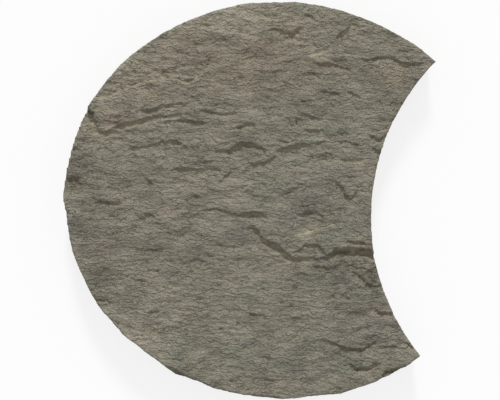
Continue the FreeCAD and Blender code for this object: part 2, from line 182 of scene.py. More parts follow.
# Ledges where a sheet of the stone broke off. First stands the run in mm over which the low side comes up
# again. Each point is pixel, pixel, drop in mm. Walking along the points, the low side is on the right.
ledges = {
    "backCorner": (26, [(79, 104, 4), (88, 108, 5.6), (92, 112.5, 5.6), (93.5, 118, 3.8), (96, 124.5, 2.4),
        (98.5, 129, 2), (102, 132, 1.6), (107, 131.5, 1.8), (112, 127, 2.6), (116, 124.6, 3), (122, 123, 3),
        (128, 121, 2.8), (137, 119.8, 2.6), (144, 118.2, 2.2), (151, 115.8, 1.8), (160, 115, 1.6),
        (170, 114.5, 1.5), (178, 113, 1.3), (188, 113, 0.8), (198, 116, 0)]),
    "backBand": (12, [(166, 118, 0), (172, 119.5, 1.6), (185, 120, 2.2), (196, 120.5, 2), (204, 122, 1),
        (210, 124, 0)]),
    "brownSteps": (9, [(140, 109, 0), (144, 109.8, 1.8), (150, 109.5, 2), (156, 108, 1.8),
        (159.5, 104, 1.4), (166, 103.6, 1.4), (174, 104.2, 1.4), (182, 102.8, 1.2), (191, 103, 0)]),
    "brownStepsTop": (5, [(171, 91, 0), (175, 92, 1.2), (182, 94, 1.4), (189, 93, 1.2), (196, 96, 1.2),
        (200, 101, 0.8), (202, 105, 0)]),
    "backSheet": (6, [(104, 117, 0), (112, 115.5, 0.7), (122, 115, 0.8), (132, 117, 0)]),
    "northLine": (26, [(206, 69, 0), (202, 71, 1.4), (197, 77, 1.8), (189, 83.5, 2.2), (183, 82.5, 2),
        (178, 79.5, 1.7), (166, 79, 1.7), (153, 80.5, 2.2), (140, 83, 2.6), (131, 85.5, 2.8),
        (123, 88, 2.6), (117, 91.5, 2.4), (110, 95.5, 2.4), (104, 98, 2.4), (97, 98.5, 2.4), (92, 97, 2.2),
        (88, 95, 2)]),
    "topLine": (14, [(336, 47.5, 0), (333, 48, 1.4), (326, 51, 1.6), (314, 55, 1.6), (308, 57, 0)]),
    "upperDash": (7, [(196, 108, 0), (200, 109, 1.1), (208, 110.5, 1.4), (214, 112, 1.4), (222, 113.5, 1.4),
        (230, 113, 1.1), (237, 112, 0)]),
    "upperShelf": (8, [(226, 128, 0), (232, 127.3, 1.5), (241, 125.8, 1.9), (248, 123.4, 1.5),
        (253, 122, 0)]),
    "leftMiddle": (12, [(120, 149, 0), (127, 143.5, 1), (133, 147, 1.2), (141, 146, 1.2), (150, 145, 1.4),
        (158, 142, 1.5), (165, 140, 2), (174, 140, 2.4), (181, 142, 2.4), (186, 147, 1.8), (191, 151, 0)]),
    "leftStreak": (14, [(170, 170, 0), (180, 168, 1.4), (190, 168, 1.9), (200, 168.5, 1.9),
        (210, 168.5, 1.9), (217, 168, 1.6), (223, 170, 0.8), (228, 173, 0)]),
    "streakTail": (5, [(215, 184, 0), (219, 180.5, 1.8), (223, 177, 2.3), (228, 173, 1.8), (231, 170, 0)]),
    "browStart": (7, [(214, 149, 0), (219, 149, 1.2), (226, 149, 1.4), (229, 150, 1.4), (233, 154, 0.8),
        (236, 157, 0)]),
    "centreBrow": (11, [(227.5, 154, 0), (229.5, 151.5, 1.6), (232, 147.5, 2.6), (237, 143.8, 2.8),
        (243, 141.6, 3), (251, 142.3, 2.8), (254.5, 144.4, 2.4), (258.5, 146.2, 2), (264, 148.6, 1.8),
        (268, 149.5, 0)]),
    "centreTongue": (18, [(247, 161, 0), (249.5, 162.3, 1.1), (253.5, 164, 1.3), (257, 161.6, 1.1),
        (263, 162.8, 1.4), (267, 160, 1.4), (273, 157, 1.4), (275.6, 152.5, 1.6), (277, 148.8, 2.6),
        (283, 147.3, 3.2), (290, 146, 2.8), (297, 143.6, 2.3), (304, 142.6, 2.2), (313, 142.6, 2.2),
        (319, 141.6, 2), (324, 140.6, 1.5), (328, 141, 0)]),
    "tongueDash": (5, [(275, 140, 0), (280, 140, 1.2), (287, 141, 1.2), (292, 141, 0)]),
    "hookWest": (8, [(243, 188, 0), (248, 190, 1), (251, 193.5, 1.4), (255, 196, 1.6), (263, 196, 1.6),
        (270, 196, 1.2), (277, 196, 0)]),
    "hookEast": (8, [(275, 197, 0), (281, 195, 1), (288, 191, 1.3), (294, 188, 1.2), (299, 184, 1.2),
        (305, 181, 0.8), (309, 180, 0)]),
    "pairEast": (5, [(186, 194, 0), (191, 194.5, 1.2), (197, 195.5, 1.2), (202, 196, 0)]),
    "pairWest": (5, [(178, 197, 0), (183, 197.5, 1), (189, 198.5, 1), (193, 199, 0)]),
    "leftShelf": (7, [(94, 201, 0), (101, 201, 1.6), (110, 201.3, 1.7), (118, 201.5, 1.3), (124, 202, 0)]),
    "leftDash": (5, [(86, 177, 0), (92, 177, 1), (100, 177.5, 1), (106, 178, 0)]),
    "shortSlant": (5, [(145, 177, 0), (148, 179.5, 1.8), (152, 183, 1.8), (155, 185, 0)]),
    "rimPit": (9, [(60, 179, 0.5), (68, 176, 1.6), (76, 178, 1.6), (80, 184, 1.2), (82, 191, 0)]),
    "topPit": (5, [(197, 22, 0), (201, 22.5, 1.6), (207, 24, 1.6), (211, 27, 0)]),
    "topHollow": (9, [(266, 29, 0), (271, 27.5, 1.6), (280, 28, 2.6), (284, 31, 3.6), (290, 32.5, 4.2),
        (294, 31, 3.6), (297, 27, 1.8), (300, 26.5, 1.2), (305, 28, 0)]),
    "topLip": (6, [(303, 12, 0), (307, 13.5, 1.4), (312, 15, 1.6), (315, 18, 1), (317, 21, 0)]),
    "frontShoulder": (14, [(338, 50, 0), (337, 46, 1), (336.5, 38, 1.6), (338, 33, 2), (345, 30, 2.2),
        (349, 26, 2), (351, 20, 1.8), (356, 17, 1.2), (362, 14, 0)]),
    "browHollow": (8, [(306, 64, 0), (313, 61, 1.2), (321, 62, 1.8), (328, 62.5, 2), (335, 63, 1.8),
        (341, 65.5, 1.4), (348, 67.5, 1), (353, 69, 0)]),
    "browDash": (4, [(330, 58.5, 0), (334, 59, 1), (342, 60, 1), (347, 61, 0)]),
    "arc": (6, [(300, 71, 0), (305, 70.5, 1.3), (313, 71.5, 1.7), (319, 75.5, 1.6), (322, 79, 0)]),
    "arcWest": (10, [(268, 72, 0), (272, 71, 0.8), (280, 69, 0.9), (287, 66, 0.7), (291, 65, 0)]),
    "arcFoot": (5, [(279, 79, 0), (283, 80, 1), (289, 83, 1), (293, 85, 0)]),
    "upperRight": (6, [(319, 89, 0), (324, 90, 1), (331, 91, 1.2), (337, 92.5, 0.8), (341, 93, 0)]),
    "upperRightTail": (7, [(346, 89, 0), (350, 91, 1), (355, 94, 1.2), (360, 97, 0.9), (364, 99, 0)]),
    "dashA": (5, [(296, 99, 0), (301, 99, 0.9), (309, 100, 0.9), (313, 100, 0)]),
    "dashB": (5, [(286, 102, 0), (291, 102.5, 0.9), (297, 103.5, 0.9), (300, 104, 0)]),
    "smallV": (5, [(287, 117, 0), (290, 120, 1.6), (292, 125, 2), (294, 121, 1.6), (296, 117, 0)]),
    "slantA": (6, [(301, 113, 0), (306, 114, 1.2), (312, 116, 1.4), (317, 118, 1), (321, 119, 0)]),
    "slantB": (6, [(314, 116, 0), (318, 117, 1), (326, 118.5, 1), (331, 119, 0)]),
    "dashC": (5, [(299, 128, 0), (304, 128.5, 1), (317, 129.5, 1), (322, 130, 0)]),
    "dashD": (5, [(335, 131, 0), (340, 131.5, 1), (349, 132.5, 1), (354, 133, 0)]),
    "dashE": (7, [(333, 141, 0), (339, 140.5, 1.1), (348, 141, 1.2), (356, 142.5, 1), (361, 143, 0)]),
    "dashF": (5, [(322, 152, 0), (327, 152.5, 1), (334, 154.5, 1), (338, 155, 0)]),
    "rightLine": (12, [(378, 165, 0), (372, 163.5, 1), (360, 163, 1.2), (345, 162, 1.1), (330, 161.5, 0.9),
        (315, 161, 0)]),
    "rightTongue": (12, [(337, 181, 0), (341, 185, 1), (343, 188, 1.6), (344.5, 193, 2), (348, 198.5, 2.3),
        (352, 199, 2.2), (356, 194, 1.6), (359, 185, 0.8), (362, 180, 0)]),
    "hornLine": (7, [(354, 58, 0), (362, 58, 1.3), (372, 58, 1.5), (378, 56.5, 1.5), (390, 56.5, 1.6),
        (396, 59, 1.6), (400, 61, 2), (412, 62, 2), (418, 62, 1.2), (427, 62, 0)]),
    "hornSpotA": (4, [(396, 64, 0), (401, 64.5, 1.4), (407, 65, 1.4), (411, 66, 0)]),
    "hornSpotB": (4, [(401, 75, 0), (405, 75, 1), (409, 76, 0.8), (412, 78, 0)]),
    "hornSpotC": (4, [(408, 77, 0), (412, 78, 1), (418, 79, 0.8), (422, 79, 0)]),
    "biteLobe": (5, [(366, 133, 0), (371, 134, 1.2), (376, 137, 2), (379, 138.8, 2.4), (382, 138, 2.2),
        (385, 134.5, 2), (390, 131, 1.5)]),
    "biteSpot": (4, [(368, 163, 0), (372, 163.5, 1.4), (376, 164, 1.2), (381, 164, 0.5)]),
    "middleBrow": (12, [(197, 210, 0), (204, 208.5, 1.2), (213, 207.5, 1.6), (220, 208, 1.6),
        (224, 210.5, 1.5), (230, 213, 1.3), (236, 214, 1.3), (242, 213, 1.8), (249, 211.3, 2.2),
        (257, 211.8, 2.2), (262, 213.8, 2), (266, 216.8, 1.5), (271, 221.5, 0)]),
    "mainShoulder": (16, [(240, 221.5, 0), (244, 222.8, 1.1), (251, 225, 1.7), (256, 228, 2.4),
        (259.5, 232.5, 2.4), (262, 237.6, 2.9), (266, 240.2, 3.5), (272, 242, 3.7), (279, 245.3, 3.4),
        (283.5, 250.3, 3), (288, 255.8, 3.2), (296, 257.2, 3.1), (305, 257.6, 1.8), (315, 257.5, 1.4),
        (325, 257.5, 1.2), (334, 257, 0)]),
    "mainLedge": (24, [(288, 253.5, 0), (292, 252, 1), (298, 248.7, 1.4), (303.5, 245.6, 1.5),
        (310, 243.7, 1.5), (317.5, 243.7, 1.6), (321, 248.5, 1.4), (325, 254.5, 1.3), (329, 254.3, 2),
        (333.5, 250.3, 3.8), (340, 248.2, 5.2), (350, 247, 6), (362, 247.4, 6), (369, 249.6, 5.4),
        (374, 253.4, 4.6), (383, 257, 4)]),
    "aboveMain": (4, [(343, 243, 0), (349, 240.5, 1.2), (355, 241, 1.8), (362, 243, 1.8), (372, 244, 1.8),
        (384, 244.5, 1.4)]),
    "smallPit": (6, [(297, 216.5, 0), (301, 212.8, 2.6), (308, 211, 3.2), (315, 211.2, 3.2),
        (320, 213, 2.4), (325, 217, 0)]),
    "rubbleA": (4, [(333, 260.5, 0), (338, 260, 1.6), (343, 261.5, 1.6), (347, 261, 1.1), (350, 261, 0)]),
    "rubbleB": (4, [(349, 267, 0), (354, 265.5, 1.7), (359, 267, 1.5), (363, 266.4, 1.1), (367, 268, 0)]),
    "rubbleC": (4, [(361, 271, 0), (366, 270, 1), (371, 272, 1.2), (376, 271, 0)]),
    "smallDash": (4, [(277, 221, 0), (281, 221.5, 0.9), (285, 223, 0.9), (288, 225, 0)]),
    "paleLine": (14, [(337, 225, 0), (328, 226.5, 1.7), (318, 229.5, 1.9), (308, 232, 1.8),
        (300, 234.5, 1.4), (292, 236, 0)]),
    "underMainA": (5, [(314, 266, 0), (319, 266, 1.2), (326, 267, 1.2), (332, 268, 0.9), (337, 268, 0)]),
    "underMainB": (5, [(335, 264, 0), (340, 264.4, 1.7), (347, 265.6, 2.1), (352, 264.4, 1.9),
        (356, 266.5, 1.6), (360, 270, 0)]),
    "underMainC": (7, [(352, 271, 0), (356, 273, 1.4), (362, 277.5, 1.8), (367.5, 282.5, 2),
        (370.5, 285.3, 2), (376, 285, 1.6), (386, 286, 1)]),
    "lowDash": (5, [(338, 293, 0), (342, 294.5, 1), (348, 297, 1.2), (352, 299.5, 0)]),
    "southSheet": (7, [(210, 243, 0), (216, 243.5, 0.9), (226, 245, 1), (237, 246.5, 0.9), (243, 247, 0)]),
    "southFaint": (7, [(133, 250, 0), (137, 249.5, 1), (143, 250.5, 1.1), (147, 249, 1.1),
        (156, 248.5, 1.1), (164, 247.5, 0.8), (180, 248, 0.7), (198, 248.5, 0.6), (206, 249, 0)]),
    "southDashA": (5, [(192, 259, 0), (197, 259.5, 1), (204, 261.5, 1), (208, 263, 0)]),
    "southDashB": (4, [(228, 262, 0), (232, 262.5, 1), (236, 264.5, 1), (239, 266, 0)]),
    "southDashC": (4, [(223, 278, 0), (227, 278.5, 0.9), (231, 280.5, 0.9), (234, 281, 0)]),
    "southSlant": (5, [(160, 283, 0), (163, 285, 0.9), (168, 289, 0.9), (171, 290, 0)]),
    "westBrow": (6, [(112, 279, 0), (122, 277.5, 1.1), (130, 276.5, 1.1), (133, 279, 1.4), (141, 279, 1.6),
        (147, 282, 1.2), (152, 284, 0)]),
    "westDashA": (5, [(146, 269, 0), (150, 269, 1), (157, 269.5, 1.1), (162, 271, 0)]),
    "westDashB": (4, [(141, 214, 0), (146, 214, 1), (151, 214.5, 1.1), (156, 216, 0)]),
    "westRim": (5, [(90, 297, 1.5), (97, 298.5, 2), (103, 299.5, 2), (110, 301.5, 1.4), (115, 302, 0)]),
    "lowDashA": (5, [(174, 321, 0), (179, 321.5, 1), (189, 322.5, 1), (194, 323, 0)]),
    "lowDashB": (6, [(246, 313, 0), (251, 313, 1), (258, 314, 1), (264, 315.5, 0.9), (268, 316, 0)]),
    "lowDashC": (6, [(282, 315, 0), (287, 315.5, 1), (297, 317.5, 1), (302, 318, 0)]),
    "lowDashD": (5, [(151, 331, 0), (156, 331.5, 0.8), (163, 333.5, 1), (168, 334, 0)]),
    "lowDashE": (5, [(147, 311.5, 0), (150, 311, 0.8), (157, 310.5, 1), (162, 310.5, 0.8), (168, 314, 0.6),
        (171, 315, 0)]),
    "footLobe": (9, [(325, 336, 0), (330, 341, 1.4), (336, 344, 1.7), (341.5, 346, 1.8), (348.5, 348, 2.1),
        (356, 348.7, 2.2), (362, 348.2, 2.2), (367, 346.4, 2), (373, 342.6, 1.6), (376, 339, 0.8),
        (377, 336, 0)]),
    "footNick": (7, [(348.5, 361, 0), (351, 363.6, 1.4), (354, 366, 2.6), (360, 367.2, 3.4),
        (368, 367.2, 3.4), (373, 364, 2.2), (375, 360, 0)]),
    "hornShelf": (6, [(370, 306, 0), (374, 308.5, 1.6), (378, 311.5, 2.2), (384, 312.5, 2.4),
        (390, 312.5, 2.2), (400, 313, 1.6)]),
    "hornFoot": (5, [(396, 338, 0), (400, 339, 1.6), (406, 342, 1.8), (411, 345.5, 2.2), (421, 349, 1.8)]),
    "southChipA": (7, [(164, 365, 0), (170, 368, 1.6), (178, 371, 3), (186, 375, 3), (196, 380.5, 2.4),
        (206, 385.5, 2), (214, 389, 0)]),
    "southChipB": (6, [(378, 380, 0), (382, 375, 3.2), (385, 371, 4), (392, 369, 4), (400, 367.6, 3.2),
        (404.5, 366, 2.4), (409, 362, 0)]),
    "southChipC": (5, [(258, 396.5, 0), (265, 395.5, 1.6), (275, 395.8, 1.6), (282, 397, 0)]),
    "westChip": (4, [(116, 331, 0), (121, 334.5, 1), (131, 341, 1), (137, 346, 0)]),
    "hornDash": (5, [(372, 347.5, 0), (380, 346.5, 1), (392, 345.5, 1.2), (398, 346.5, 1.2),
        (404, 348, 0.6), (408, 349, 0)]),
}

# Narrow slits: pixel, pixel, depth in mm
slits = {
    "topSlit": [(223, 33, 0), (223.5, 38, 1.3), (223, 42, 0)],
    "strongSlit": [(211, 57, 0), (208, 63, 2.2), (204, 69, 1.6), (202, 72, 0)],
    "rightSlit": [(352, 73, 0), (347, 80, 2.2), (344, 87, 2.2), (342, 90, 0)],
    "shortSlit": [(273, 55, 0), (276.5, 58, 1), (280, 61, 0)],
    "tongueArm": [(358, 184, 0), (356.5, 190, 2.4), (354, 195.5, 3), (351, 198.5, 2.4), (348, 199, 0)],
    "southSlit": [(178, 258, 0), (178.5, 263, 1.1), (179, 268, 0)],
}

# Hollows: pixel, pixel, half widths in pixels, depth in mm
pits = {
    "rimHollow": (74, 184, 8, 8, 1.5),
    "westSpot": (75, 149.5, 3.5, 2.5, 1.6),
    "westNotch": (64, 213, 3, 6, 3),
    "topNotch": (200, 17, 2.5, 2.5, 1.5),
    "lowPit": (295, 287, 3.5, 3, 1.2),
    "brownPit": (333, 296, 4, 4, 1),
    "westDot": (147, 340, 2.2, 1.8, 1.2),
    "tipDot": (429, 65, 2, 2, 1),
}

# Torn places, where the stone broke in crumbs: pixel, pixel, half widths in pixels, strength
torn = {
    "underMain": (356, 268, 22, 12, 0.8),
    "brownZone": (112, 118, 15, 6, 0.7),
    "step": (312, 250, 15, 7, 0.5),
    "streak": (202, 161, 20, 8, 0.5),
    "foot": (352, 340, 20, 12, 0.4),
    "rimPit": (74, 184, 8, 9, 0.9),
    "topHollow": (286, 30, 14, 6, 0.5),
    "browHollow": (324, 66, 16, 5, 0.5),
    "brow": (262, 232, 14, 7, 0.4),
    "upper": (186, 96, 18, 9, 0.5),
    "westRidge": (84, 160, 18, 10, 0.3),
}

# Each scale of the face: seed, strength, length along and across the grain in mm, steepness
scales = {
    "broad": (1, 0.3, 110, 70, 3.5),
    "swell": (2, 0.58, 28, 13, 3.2),
    "ribs": (3, 0.16, 9, 4.4, 3),
    "fray": (8, 0.05, 3, 2.4, 2.6),           # how ragged the sheets' edges are
    "grain": (4, 0.16, 4, 2.4, 3),
    "grit": (5, 0.12, 1.7, 1.4, 3),
    "rugged": (6, 0.45, 28, 16, 3),           # where grain and grit are strong
    "bend": (11, 2.2, 90, 90, 4),
    "wideWanderX": (31, 0.45, 8, 8, 3),       # how far an edge strays from its place
    "fineWanderX": (32, 0.32, 3, 3, 3),
    "wideWanderY": (33, 0.4, 8, 8, 3),
    "fineWanderY": (34, 0.28, 3, 3, 3),
    "uneven": (35, 0.22, 14, 8, 3),           # along a ledge
    "crumbs": (36, 0.6, 4.4, 3.4, 3.4),
    "chipping": (7, 1, 7, 7, 3),
    "crestBreaks": (171, 0.35, 9, 6, 3),
    "wideTone": (161, 0.25, 40, 24, 2.5),
    "fineTone": (162, 0.05, 16, 9, 3),
    "underside": (81, 1, 26, 20, 3),
}

# How the face splits; lengths in mm
split = {
    "ledges": 1.42,        # all drops are deepened by this
    "edgeFrom": -0.4,      # a ledge falls from here
    "edgeTo": 0.6,         # to here, across its line
    "runOut": 1.1,         # how far the low side stays down, in runs of the ledge
    "gouge": 0.22,         # share of a drop that comes up again close by:
    "gougeRun": 0.3,       # within this many runs
    "gougeWide": 1.8,      # and this much more
    "calm": 0.7,           # how smooth a hollow's floor is
    "calmDepth": 3,
    "deepest": 9.0,        # ledges over each other dig no deeper
    "crestAt": 0.5,        # painted highlight at the edge of a ledge that faces the light from the picture's top
    "crestWide": 1.3,
    "slitWide": 1.1,
    "sheet": 0.6,          # thickness of one parted sheet
    "parted": 0.85,        # share of the face that breaks in steps
}

# Wear at the rim, the painted shade and shadow tint in hollows and the painted highlight on crests; lengths
# in mm
wear = {
    "rounding": 0.8,
    "roundingWide": 1.3,
    "chips": 1.1,
    "chipsWide": 3.2,
    "chipsFrom": 0.55,     # of the chipping's spread
    "shadowTintFrom": 1.3,       # depth of a shaded gouge at which the painted shadow tint begins
    "shadowTintFull": 3.6,
    "shadowTintSoft": 0.8,
    "crestFull": 1.7,
    "wideHollow": (1.8, 2.6),      # how wide a hollow is, and how deep where it shows fully
    "fineHollow": (0.8, 0.9),
}


def rough(name):
    seed, strength, along, over, fall = scales[name]
    return strength * roughField(seed, along * mm, over * mm, fall)


def hollowness(field, kind):
    width, depth = wear[kind]
    return (blurred(field, width * mm) - field) / (depth * mm)


def sample(field, x, y, corner=mapLow):
    # the map's value at places on the stone
    u = np.clip((np.asarray(x) - corner[0]) / face["cell"], 0, field.shape[0] - 1.001)
    v = np.clip((np.asarray(y) - corner[1]) / face["cell"], 0, field.shape[1] - 1.001)
    i = u.astype(int)
    j = v.astype(int)
    s = u - i
    t = v - j
    low = field[i, j] * (1 - s) + field[i + 1, j] * s
    high = field[i, j + 1] * (1 - s) + field[i + 1, j + 1] * s
    return low * (1 - t) + high * t


def broken(points):
    # a listed line on the stone, its corners cut, with its drop in metres
    marks = np.array(points, float)
    lineX, lineY = onStone(marks[:, 0], marks[:, 1])
    return rounded(np.column_stack((lineX, lineY, marks[:, 2] * mm)))


def around(x, y, line, reach):
    near = (x > line[:, 0].min() - reach) & (x < line[:, 0].max() + reach)
    return near & (y > line[:, 1].min() - reach) & (y < line[:, 1].max() + reach)


def spot(x, y, px, py, halfX, halfY):
    # squared distance from a place of the photo: 1 at the spot's edge
    middleX, middleY = onStone(px, py)
    u = (x - middleX) / (halfX * picture["pixel"])
    v = (y - middleY) / (halfY * picture["pixel"])
    return u * u + v * v


def carve(height):
    # the places are read through a little noise, so that each edge breaks raggedly
    x = mapX + mm * (rough("wideWanderX") + rough("fineWanderX"))
    y = mapY + mm * (rough("wideWanderY") + rough("fineWanderY"))
    uneven = np.clip(1 + rough("uneven"), 0.4, 1.6)
    dug = np.zeros(height.shape)
    shadedGouge = np.zeros(height.shape)
    crestLight = np.zeros(height.shape)
    calm = np.ones(height.shape)
    for run, points in ledges.values():
        line = broken(points)
        near = around(x, y, line, 3 * run * mm)
        away, drop = alongLine(x[near], y[near], line)
        low = np.maximum(away, 0)
        fall = softStep(split["edgeFrom"] * mm, split["edgeTo"] * mm, away)
        rising = np.exp(-(low / (split["runOut"] * run * mm)) ** 1.8)
        gouge = np.exp(-(low / ((split["gougeRun"] * run + split["gougeWide"]) * mm)) ** 4)
        cut = split["ledges"] * drop * uneven[near] * fall
        if line[-1, 0] > line[0, 0]:
            # low side away from the picture's top: a shaded hollow, which gets the painted shadow tint
            shadedGouge[near] = np.maximum(shadedGouge[near], cut * gouge)
        else:
            # low side towards it: a crest in the light, painted paler as a highlight
            crestShare = np.exp(-((away - split["crestAt"] * mm) / (split["crestWide"] * mm)) ** 2)
            crestLight[near] = np.maximum(crestLight[near], cut * crestShare)
        cut *= (1 - split["gouge"]) * rising + split["gouge"] * gouge
        dug[near] += cut * (1 - np.clip(dug[near] / (split["deepest"] * mm), 0, 1))
        calm[near] *= 1 - split["calm"] * gouge * np.clip(cut / (split["calmDepth"] * mm), 0, 1)
    height = height * calm - dug
    for points in slits.values():
        line = broken(points)
        near = around(x, y, line, 6 * mm)
        away, depth = alongLine(x[near], y[near], line)
        height[near] -= depth * np.exp(-(away / (split["slitWide"] * mm)) ** 2)
    for px, py, halfX, halfY, depth in pits.values():
        height -= depth * mm * np.exp(-spot(x, y, px, py, halfX, halfY) ** 1.5)
    crumbs = rough("crumbs")
    for px, py, halfX, halfY, strength in torn.values():
        height += strength * mm * crumbs * np.exp(-spot(x, y, px, py, halfX, halfY) ** 2)
    return height, shadedGouge, crestLight


def rivenHeight():
    # sheets that lie over each other in low steps, with grain and grit on them
    level = rough("broad") + rough("swell") + rough("ribs") + rough("fray")
    count = np.floor(level / split["sheet"])
    part = level / split["sheet"] - count
    stepped = split["sheet"] * (count + softStep(0.4, 0.6, part))
    level = (1 - split["parted"]) * level + split["parted"] * stepped
    level = sample(level, mapX, mapY + mm * rough("bend"))
    rugged = np.clip(1 + rough("rugged"), 0.25, 2)
    return mm * (level + rugged * (rough("grain") + rough("grit")))


height, shadedGouge, crestLight = carve(rivenHeight())
edge = np.maximum(rimDistance(mapX, mapY), 0)
chipping = np.clip(rough("chipping") - wear["chipsFrom"], 0, 2)
height -= wear["rounding"] * mm * np.exp(-edge / (wear["roundingWide"] * mm))
height -= wear["chips"] * mm * chipping * np.exp(-(edge / (wear["chipsWide"] * mm)) ** 2)
rise = face["top"] - face["level"]
height = np.where(height > 0, rise * np.tanh(height / rise), height)
# hollowness: painted shade in the hollows, and where the shadow tint lies
hollow = hollowness(height, "wideHollow") + hollowness(height, "fineHollow")
# painted shadow tint: a warmer, lighter colour in the shaded gouges under ledges
shadowTint = softStep(wear["shadowTintFrom"], wear["shadowTintFull"], blurred(shadedGouge, wear["shadowTintSoft"] * mm) / mm)
# painted highlight along the crests that face the light
crest = np.clip(crestLight / (wear["crestFull"] * mm), 0, 1) * np.clip(0.8 + rough("crestBreaks"), 0.1, 1)
deepest = float(height[edge > 0].min() / mm)
print("riven face: height map", cellsX, "x", cellsY, "deepest", round(deepest, 2), "mm")

# Tints of the face, and in the dark list painted shade too: pixel, pixel, half widths in pixels, strength
stains = {
    "rust": [(402, 78, 16, 8, 1), (258, 48, 18, 14, 0.9), (234, 78, 12, 6, 1), (104, 126, 15, 9, 1.1),
        (138, 86, 28, 11, 0.9), (157, 66, 18, 10, 0.8), (171, 212, 6, 4, 1.4), (252, 66, 14, 9, 0.8),
        (332, 66, 12, 6, 1), (276, 54, 14, 8, 0.8), (390, 77, 14, 6, 0.8), (186, 50, 30, 11, 0.7),
        (300, 33, 14, 8, 0.8), (204, 88, 16, 6, 0.6), (366, 66, 12, 6, 0.6), (176, 104, 10, 3, 1.3),
        (125, 117, 20, 5, 1), (72, 184, 8, 8, 1.2), (362, 244, 12, 5, 0.9), (363, 277, 5, 6, 1),
        (333, 296, 5, 4, 0.7), (96, 248, 16, 14, 0.4), (145, 336, 4, 7, 0.8), (382, 312, 10, 4, 0.8),
        (404, 67, 5, 3, 0.9)],
    "ochre": [(240, 62, 62, 34, 1), (285, 28, 28, 18, 0.9), (195, 50, 44, 22, 0.8), (392, 66, 14, 8, 0.8),
        (114, 114, 18, 9, 0.8), (150, 84, 50, 16, 0.5), (300, 60, 40, 14, 0.6)],
    "moss": [(270, 190, 16, 11, 1), (334, 126, 15, 7, 1.1), (234, 352, 20, 13, 1), (354, 318, 11, 8, 0.8),
        (175, 354, 14, 10, 0.9), (318, 285, 15, 10, 1), (263, 283, 18, 7, 0.8), (332, 234, 15, 8, 0.9),
        (345, 366, 18, 8, 0.9), (310, 140, 15, 8, 0.8), (246, 341, 14, 8, 0.7), (284, 366, 13, 8, 0.8),
        (366, 294, 9, 8, 0.8), (296, 158, 16, 8, 0.8), (114, 234, 8, 6, 0.8), (188, 346, 11, 8, 0.7),
        (246, 294, 13, 8, 0.6), (110, 258, 8, 6, 0.7), (306, 342, 13, 8, 0.7), (135, 54, 6, 5, 1),
        (121, 70, 5, 10, 1), (110, 86, 6, 5, 0.9), (300, 8, 14, 5, 0.7), (230, 60, 8, 5, 0.6),
        (65, 212, 4, 8, 1), (365, 234, 7, 5, 0.8), (366, 362, 8, 5, 0.8), (398, 365, 6, 4, 0.8),
        (74, 243, 6, 8, 0.8)],
    "slate": [(258, 366, 16, 11, 0.9), (308, 176, 18, 9, 1), (96, 242, 17, 14, 0.8), (306, 378, 16, 8, 0.8),
        (282, 354, 13, 8, 0.7), (372, 325, 22, 22, 0.8), (342, 282, 18, 11, 0.8), (330, 335, 28, 22, 0.7),
        (390, 348, 18, 12, 0.8), (306, 194, 26, 16, 0.8), (344, 174, 18, 9, 0.8), (330, 366, 16, 10, 0.6),
        (294, 213, 22, 12, 0.7), (342, 138, 9, 6, 0.8), (354, 222, 18, 11, 0.7), (234, 233, 15, 9, 0.9),
        (114, 246, 15, 11, 0.6), (68, 228, 5, 14, 1), (402, 322, 8, 16, 1), (426, 57, 6, 8, 0.9),
        (150, 45, 10, 7, 0.6), (292, 322, 12, 9, 0.6)],
    "pale": [(238, 20, 34, 17, 2.1), (356, 24, 20, 12, 0.9), (120, 338, 22, 16, 1.3),
        (206, 222, 18, 14, 0.5), (276, 16, 30, 12, 1.2), (130, 90, 28, 6, 0.7), (182, 47, 18, 10, 0.8),
        (306, 234, 16, 6, 0.9), (138, 318, 20, 15, 0.7), (222, 294, 12, 8, 0.5), (200, 211, 10, 5, 0.5),
        (198, 138, 12, 6, 0.5), (376, 42, 16, 9, 0.6), (234, 186, 14, 6, 0.5), (318, 54, 12, 5, 0.6),
        (354, 54, 12, 4, 0.5), (212, 128, 16, 5, 0.5), (140, 66, 50, 18, 0.85), (160, 265, 14, 4, 0.5),
        (190, 176, 24, 4, 0.6), (246, 90, 16, 6, 0.4), (120, 326, 8, 10, 0.5), (200, 22, 56, 24, 0.9),
        (270, 18, 44, 20, 0.5), (132, 84, 46, 40, 0.5), (140, 326, 40, 28, 0.25)],
    # darker stone, and painted shade where a notch or facet lies in shade, such as at the rim notch and the
    # facet near the top right
    "darkAndShade": [(345, 264, 34, 14, 1.8), (158, 260, 28, 16, 0.75), (240, 60, 20, 16, 0.4),
        (320, 100, 20, 16, 0.5), (384, 372, 22, 10, 0.8), (312, 374, 28, 10, 0.7), (392, 344, 14, 12, 0.5),
        (95.5, 123, 3.5, 6, 2.4), (340, 262, 26, 10, 0.6), (353, 22, 3.5, 5, 1.1), (343, 30, 6, 3, 1),
        (288, 34, 6, 5, 0.9), (86.5, 115, 5.5, 4.5, 3), (348, 256, 32, 8, 0.4), (292, 257, 14, 8, 0.5),
        (342, 342, 26, 10, 0.6), (306, 211, 16, 8, 0.6), (88, 210, 18, 12, 0.6), (320, 66, 16, 5, 0.5),
        (366, 283, 12, 6, 0.4), (355, 364, 16, 9, 0.5), (340, 300, 50, 34, 0.45), (330, 190, 24, 14, 0.4),
        (264, 130, 30, 14, 0.25), (300, 118, 20, 14, 0.3), (240, 380, 40, 10, 0.3), (340, 28, 10, 8, 0.5),
        (71, 184, 9, 8, 2.6), (100, 240, 24, 20, 0.3), (84, 172, 26, 34, 0.5), (82, 226, 28, 42, 0.45),
        (92, 274, 28, 22, 0.55), (362, 272, 34, 24, 1.55), (318, 272, 32, 18, 0.5), (366, 222, 22, 22, 0.5),
        (376, 336, 34, 30, 0.5), (352, 372, 40, 18, 0.7), (170, 372, 30, 16, 0.5), (292, 372, 34, 16, 0.45),
        (200, 262, 60, 16, 0.3), (346, 66, 40, 14, 0.35)],
}


# How stains lie; lengths along and across the grain
staining = {
    "wander": (3 * mm, 2.5 * mm),        # how far an edge strays, along X and Y
    "wanderLength": (22 * mm, 12 * mm),
    "patchy": 0.45,
    "patchLength": (7 * mm, 4 * mm),
    "most": 1.6,
    "pale": 0.8,
    "darkAndShade": 0.7,
}


